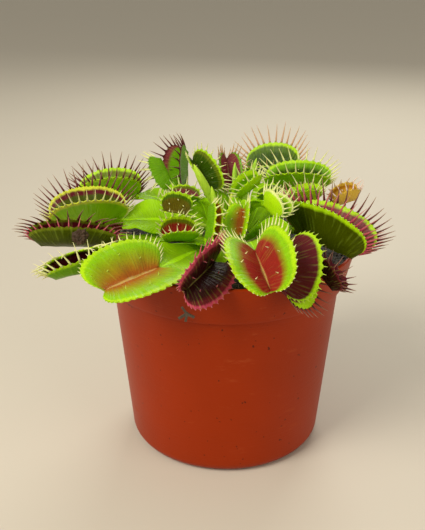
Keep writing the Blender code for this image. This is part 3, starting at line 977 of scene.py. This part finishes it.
def bristle_tree():
    """Stands a tapered, curled bristle on every loose seed point, and keeps the blade beside them."""
    inputs = (("Radius", "Float"), ("Sides", "Int"), ("Steps", "Int"), ("Finish", "Material"))
    tree, given = geometry_tree("bristled_leaf", inputs)
    size = named(tree, "size")
    picked = tree.node(
        "GeometryNodeSeparateGeometry",
        {"domain": "POINT"},
        {"Geometry": given("Geometry"), "Selection": size.above(0.0)},
    )
    cone = tree.node(
        "GeometryNodeMeshCone",
        {"fill_type": "NGON"},
        {
            "Vertices": given("Sides"), "Side Segments": given("Steps"), "Radius Top": 0.12,
            "Radius Bottom": 1.0, "Depth": 1.0,
        },
    )
    height = tree.node("ShaderNodeSeparateXYZ", None, {0: tree.node("GeometryNodeInputPosition")}).output("Z")
    shaft = tree.node(
        "GeometryNodeStoreNamedAttribute",
        {"data_type": "FLOAT", "domain": "POINT"},
        {"Geometry": cone, "Name": "along", "Value": height},
    )
    turned_to = tree.node(
        "FunctionNodeAlignRotationToVector", {"axis": "Z"}, {"Vector": named(tree, "aim", "FLOAT_VECTOR")}
    )
    girth = given("Radius") * (size * 60.0 + 0.62)
    scale = tree.node("ShaderNodeCombineXYZ", None, {0: girth, 1: girth, 2: size})
    stood = tree.node(
        "GeometryNodeInstanceOnPoints",
        None,
        {"Points": picked, "Instance": shaft, "Rotation": turned_to, "Scale": scale},
    )
    along = named(tree, "along")
    lean = tree.node(
        "ShaderNodeVectorMath",
        {"operation": "SCALE"},
        {0: named(tree, "curl", "FLOAT_VECTOR"), "Scale": along * along},
    )
    bent = tree.node(
        "GeometryNodeSetPosition",
        None,
        {"Geometry": tree.node("GeometryNodeRealizeInstances", None, {"Geometry": stood}), "Offset": lean},
    )
    round_ones = tree.node("GeometryNodeSetShadeSmooth", None, {"Geometry": bent})
    coloured = tree.node(
        "GeometryNodeSetMaterial", None, {"Geometry": round_ones, "Material": given("Finish")}
    )
    both = tree.node("GeometryNodeJoinGeometry", None, {"Geometry": [picked.output("Inverted"), coloured]})
    tree.node("NodeGroupOutput", None, {"Geometry": both})
    return tree.nodes


def scatter_tree():
    """Strews angular grains over the upward faces."""
    inputs = (
        ("Density", "Float"), ("Seed", "Int"), ("Smallest", "Vector"), ("Largest", "Vector"),
        ("Finish", "Material"),
    )
    tree, given = geometry_tree("strewn_grains", inputs)
    facing = tree.node("ShaderNodeSeparateXYZ", None, {0: tree.node("GeometryNodeInputNormal")}).output("Z")
    spots = tree.node(
        "GeometryNodeDistributePointsOnFaces",
        {"distribute_method": "RANDOM"},
        {
            "Mesh": given("Geometry"), "Selection": facing.above(0.35), "Density": given("Density"),
            "Seed": given("Seed"),
        },
    )
    turns = tree.node(
        "FunctionNodeRandomValue", {"data_type": "FLOAT_VECTOR"}, {"Max": (6.28, 6.28, 6.28), "Seed": 3}
    )
    sizes = tree.node(
        "FunctionNodeRandomValue",
        {"data_type": "FLOAT_VECTOR"},
        {"Min": given("Smallest"), "Max": given("Largest"), "Seed": 8},
    )
    grain = tree.node("GeometryNodeMeshIcoSphere", None, {"Radius": 1.0, "Subdivisions": 1})
    strewn = tree.node(
        "GeometryNodeInstanceOnPoints",
        None,
        {"Points": spots, "Instance": grain, "Rotation": turns, "Scale": sizes},
    )
    loose = tree.node("GeometryNodeRealizeInstances", None, {"Geometry": strewn})
    coloured = tree.node("GeometryNodeSetMaterial", None, {"Geometry": loose, "Material": given("Finish")})
    tree.node("NodeGroupOutput", None, {"Geometry": coloured})
    return tree.nodes


def make_grains(name, soil, tree, density, seed, smallest, largest, finish):
    piece = bpy.data.objects.new(name, soil.data)
    bpy.context.scene.collection.objects.link(piece)
    values = {
        "Density": float(density), "Seed": seed, "Smallest": smallest, "Largest": largest, "Finish": finish,
    }
    grow(piece, tree, values)
    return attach(piece, "root")


def make_crown():
    """The crown as a low dome of eleven leaf bases, each a soft ridge."""
    shares = [1 - k / CROWN_ROWS for k in range(CROWN_ROWS)]
    foot = SOIL_TOP + SOIL_GAP - 0.4
    profile = [(0, foot), (CROWN_RADIUS, foot)]
    profile += [(CROWN_RADIUS * s, crown_height(CROWN_RADIUS * s)) for s in shares[1:]]
    points, faces = turned([*profile, (0, crown_height(0))], CROWN_SIDES)
    scaled = []
    for x, y, z in points:
        angle, radius = math.atan2(y, x), math.hypot(x, y)
        scaly = 1 + 0.05 * math.sin(angle * CROWN_BASES + radius * 1.3) * min(1.0, radius / 4)
        scaled.append((x * scaly, y * scaly, z))
    return add_mesh("flytrap_crown", scaled, faces, crown_skin())


def make_leaf(leaf, tree, sizes):
    look = LOOKS[leaf.name]
    points, faces, values, seeds = leaf_blade(leaf, look, sizes)
    blank = [0.0] * len(seeds)
    for name in values:
        values[name] = values[name] + blank
    still = [(0.0, 0.0, 0.0)] * len(points)
    values["size"] = [0.0] * len(points) + [s.size * MM for s in seeds]
    values["tone"] = [0.0] * len(points) + [s.tone for s in seeds]
    values["aim"] = still + [tuple(s.aim) for s in seeds]
    values["curl"] = still + [tuple(s.curl * MM) for s in seeds]
    skin = trap_tissue(f"{leaf.name}_skin", look, tuple(sizes.wing))
    piece = add_mesh(f"flytrap_{leaf.name}", points + [s.foot for s in seeds], faces, skin, values)
    bristles = bristle_skin(f"{leaf.name}_bristles", look)
    inputs = {"Radius": sizes.bristle, "Sides": BRISTLE_SIDES, "Steps": BRISTLE_STEPS, "Finish": bristles}
    return grow(piece, tree, inputs)


def make_bud(bud):
    start, out = crown_seat(bud.ring, bud.bearing)
    tip = Vector(bud.tip)
    handle = (tip - start).length * 0.35
    lean = (tip - start).normalized()
    points, along = [], []
    for k in range(BUD_ROWS):
        t = k / (BUD_ROWS - 1) * 0.995
        point, way = bezier(start, start + out * handle, tip - lean * handle, tip, t)
        up = upright(way, Vector((0.2, 0.1, 1)))
        side = way.cross(up)
        swell = 0.45 + 0.55 * math.sin(math.pi * t**1.4)
        if t > 0.8:
            swell *= math.sqrt(max(0.02, 1 - ((t - 0.8) / 0.2) ** 2))
        for s in range(BUD_SIDES):
            angle = math.tau * s / BUD_SIDES
            seam = 1 - 0.16 * math.exp(-((angle - math.pi / 2) ** 2) / 0.08)
            reach = side * math.cos(angle) + up * math.sin(angle) * 0.75
            points.append(point + reach * bud.radius * swell * seam)
            along.append(t)
    points.append(tip)
    along.append(1.0)
    faces = [tuple(reversed(range(BUD_SIDES)))]
    for row in range(BUD_ROWS - 1):
        for s in range(BUD_SIDES):
            a, b = row * BUD_SIDES + s, row * BUD_SIDES + (s + 1) % BUD_SIDES
            faces.append((a, b, b + BUD_SIDES, a + BUD_SIDES))
    last = (BUD_ROWS - 1) * BUD_SIDES
    faces += [(last + s, last + (s + 1) % BUD_SIDES, len(points) - 1) for s in range(BUD_SIDES)]
    skin = bud_skin(f"{bud.name}_skin", bud.colour)
    return add_mesh(f"flytrap_{bud.name}", points, faces, skin, {"along": along})


def make_crumb():
    """A crumb of peat as a broken clod, in the place of its solid but against the trap that holds it."""
    low, high = (Vector(corner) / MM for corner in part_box("peat_crumb"))
    middle, half = (low + high) / 2 + Vector((0, CRUMB_SHIFT, 0)), (high - low) / 2
    edit = bmesh.new()
    bmesh.ops.create_icosphere(edit, subdivisions=5, radius=1)
    points = []
    for vertex in edit.verts:
        spot = vertex.co
        broken = 1.1 + 0.5 * noise.noise(spot * 1.9) + 0.35 * noise.noise(spot * 5.3)
        points.append(middle + Vector([c * h * broken for c, h in zip(spot, half)]))
    faces = [[corner.index for corner in face.verts] for face in edit.faces]
    edit.free()
    return add_mesh("flytrap_crumb", points, faces, peat("crumb_peat", rgb(64, 42, 22)), sharp_degrees=50)


def keep(piece, node):
    """Rides a piece on the plant and hides the CAD node it stands for."""
    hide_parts(node)
    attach(piece, "root")


class FLYTRAP_OT_pot(bpy.types.Operator):
    """Makes the nursery pot."""

    bl_idname = "flytrap.pot"
    bl_label = "Make pot"

    def execute(self, context):
        keep(make_pot(context.scene.flytrap_pot), "pot")
        return {"FINISHED"}


class FLYTRAP_OT_soil(bpy.types.Operator):
    """Makes the soil, the crumbs and the perlite on it, and the crown that stands in it."""

    bl_idname = "flytrap.soil"
    bl_label = "Make soil"

    def execute(self, context):
        sizes = context.scene.flytrap_soil
        soil = make_soil(sizes)
        tree = scatter_tree()
        crumb = peat("peat_crumbs", shade(sizes.colour, 1.5))
        make_grains(
            "soil_crumbs", soil, tree, sizes.crumbs, sizes.seed,
            (0.0001, 0.0001, 0.0001), (0.0007, 0.0006, 0.0005), crumb,
        )
        make_grains(
            "soil_fibres", soil, tree, sizes.crumbs * 0.12, sizes.seed + 1,
            (0.00006, 0.00006, 0.0008), (0.00012, 0.00012, 0.0022),
            dry_surface("peat_fibre", rgb(92, 66, 40), rgb(176, 140, 96), FIBRE_STRETCH, 0.0003),
        )
        make_grains(
            "soil_perlite", soil, tree, sizes.perlite, sizes.seed + 2,
            (0.0003, 0.0003, 0.0003), (0.0009, 0.0008, 0.0008),
            dry_surface("perlite", rgb(168, 160, 140), rgb(236, 232, 220), 1.0, 0.0004),
        )
        keep(soil, "soil")
        keep(make_crown(), "crown")
        return {"FINISHED"}


class FLYTRAP_OT_leaves(bpy.types.Operator):
    """Makes every leaf: its winged stalk, its trap, and the bristles and trigger hairs on it."""

    bl_idname = "flytrap.leaves"
    bl_label = "Make leaves"

    def execute(self, context):
        tree = bristle_tree()
        for leaf in LEAVES:
            keep(make_leaf(leaf, tree, context.scene.flytrap_leaves), leaf.name)
        return {"FINISHED"}


class FLYTRAP_OT_young_leaves(bpy.types.Operator):
    """Makes the unopened young leaves."""

    bl_idname = "flytrap.young_leaves"
    bl_label = "Make young leaves"

    def execute(self, context):
        for bud in BUDS:
            keep(make_bud(bud), bud.name)
        return {"FINISHED"}


class FLYTRAP_OT_dry_bits(bpy.types.Operator):
    """Finishes the dry root on the rim, and makes the crumb of peat on a trap."""

    bl_idname = "flytrap.dry_bits"
    bl_label = "Make dry bits"

    def execute(self, context):
        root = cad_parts["dry_sprig"]
        skin = dry_surface("dry_root", rgb(36, 26, 18), rgb(92, 74, 54), FIBRE_STRETCH, 0.0003)
        root.material_slots[0].material = skin
        keep(make_crumb(), "peat_crumb")
        return {"FINISHED"}


def area_light(name, place, aim, size, power, colour):
    light = bpy.data.lights.new(name, "AREA")
    light.size = size
    light.energy = power
    light.color = colour
    made = bpy.data.objects.new(name, light)
    made.location = place
    made.rotation_euler = (Vector(aim) - Vector(place)).to_track_quat("-Z", "Y").to_euler()
    bpy.context.scene.collection.objects.link(made)


def make_camera():
    camera = bpy.data.cameras.new("camera")
    camera.lens = LENS
    camera.sensor_width = SENSOR
    made = bpy.data.objects.new("camera", camera)
    made.location = CAMERA_PLACE
    level = math.cos(CAMERA_PITCH)
    ahead = Vector((math.sin(CAMERA_YAW) * level, math.cos(CAMERA_YAW) * level, -math.sin(CAMERA_PITCH)))
    made.rotation_euler = ahead.to_track_quat("-Z", "Y").to_euler()
    bpy.context.scene.collection.objects.link(made)
    return made


class FLYTRAP_OT_stage(bpy.types.Operator):
    """Makes the floor, the lights and the camera."""

    bl_idname = "flytrap.stage"
    bl_label = "Make stage"

    def execute(self, context):
        sizes = context.scene.flytrap_stage
        bpy.ops.mesh.primitive_plane_add(size=6.0, location=(0, 0, 0))
        floor = context.object
        floor.name = "floor"
        floor.data.materials.append(floor_surface(tuple(sizes.floor)))
        middle = (0, 0, 0.06)
        area_light("key", (-0.42, -0.38, 0.55), middle, 0.36, sizes.key_power, (1.0, 0.97, 0.88))
        area_light("fill", (0.55, -0.4, 0.3), middle, 0.5, sizes.key_power * 0.28, (1.0, 0.98, 0.92))
        area_light("back", (0.15, 0.6, 0.5), middle, 0.4, sizes.key_power * 0.45, (1.0, 1.0, 0.92))
        world = bpy.data.worlds.new("studio")
        world.use_nodes = True
        backdrop = world.node_tree.nodes["Background"]
        backdrop.inputs["Color"].default_value = (0.96, 0.92, 0.80, 1.0)
        backdrop.inputs["Strength"].default_value = 0.42
        context.scene.world = world
        context.scene.view_settings.view_transform = "Standard"
        context.scene.camera = make_camera()
        return {"FINISHED"}


class FLYTRAP_PT_panel(bpy.types.Panel):
    """The plant's sizes and colours, and a button for each group of its pieces."""

    bl_label = "Venus flytrap"
    bl_idname = "FLYTRAP_PT_panel"
    bl_space_type = "VIEW_3D"
    bl_region_type = "UI"
    bl_category = "Flytrap"

    def draw(self, context):
        for step, group in STEPS:
            box = self.layout.box()
            if group:
                sizes = getattr(context.scene, group)
                for name in sizes.bl_rna.properties.keys():
                    if name not in ("name", "rna_type"):
                        box.prop(sizes, name)
            box.operator(f"flytrap.{step}")


GROUPS = {
    "flytrap_pot": PotSizes,
    "flytrap_soil": SoilSizes,
    "flytrap_leaves": LeafSizes,
    "flytrap_stage": StageSizes,
}
STEPS = (
    ("pot", "flytrap_pot"),
    ("soil", "flytrap_soil"),
    ("leaves", "flytrap_leaves"),
    ("young_leaves", ""),
    ("dry_bits", ""),
    ("stage", "flytrap_stage"),
)
CLASSES = (
    *GROUPS.values(),
    FLYTRAP_OT_pot,
    FLYTRAP_OT_soil,
    FLYTRAP_OT_leaves,
    FLYTRAP_OT_young_leaves,
    FLYTRAP_OT_dry_bits,
    FLYTRAP_OT_stage,
    FLYTRAP_PT_panel,
)


def register():
    for item in CLASSES:
        bpy.utils.register_class(item)
    for name, group in GROUPS.items():
        setattr(bpy.types.Scene, name, PointerProperty(type=group))


def unregister():
    for name in GROUPS:
        delattr(bpy.types.Scene, name)
    for item in reversed(CLASSES):
        bpy.utils.unregister_class(item)


def main():
    register()
    for step, _ in STEPS:
        getattr(bpy.ops.flytrap, step)()


if __name__ == "__main__":
    main()
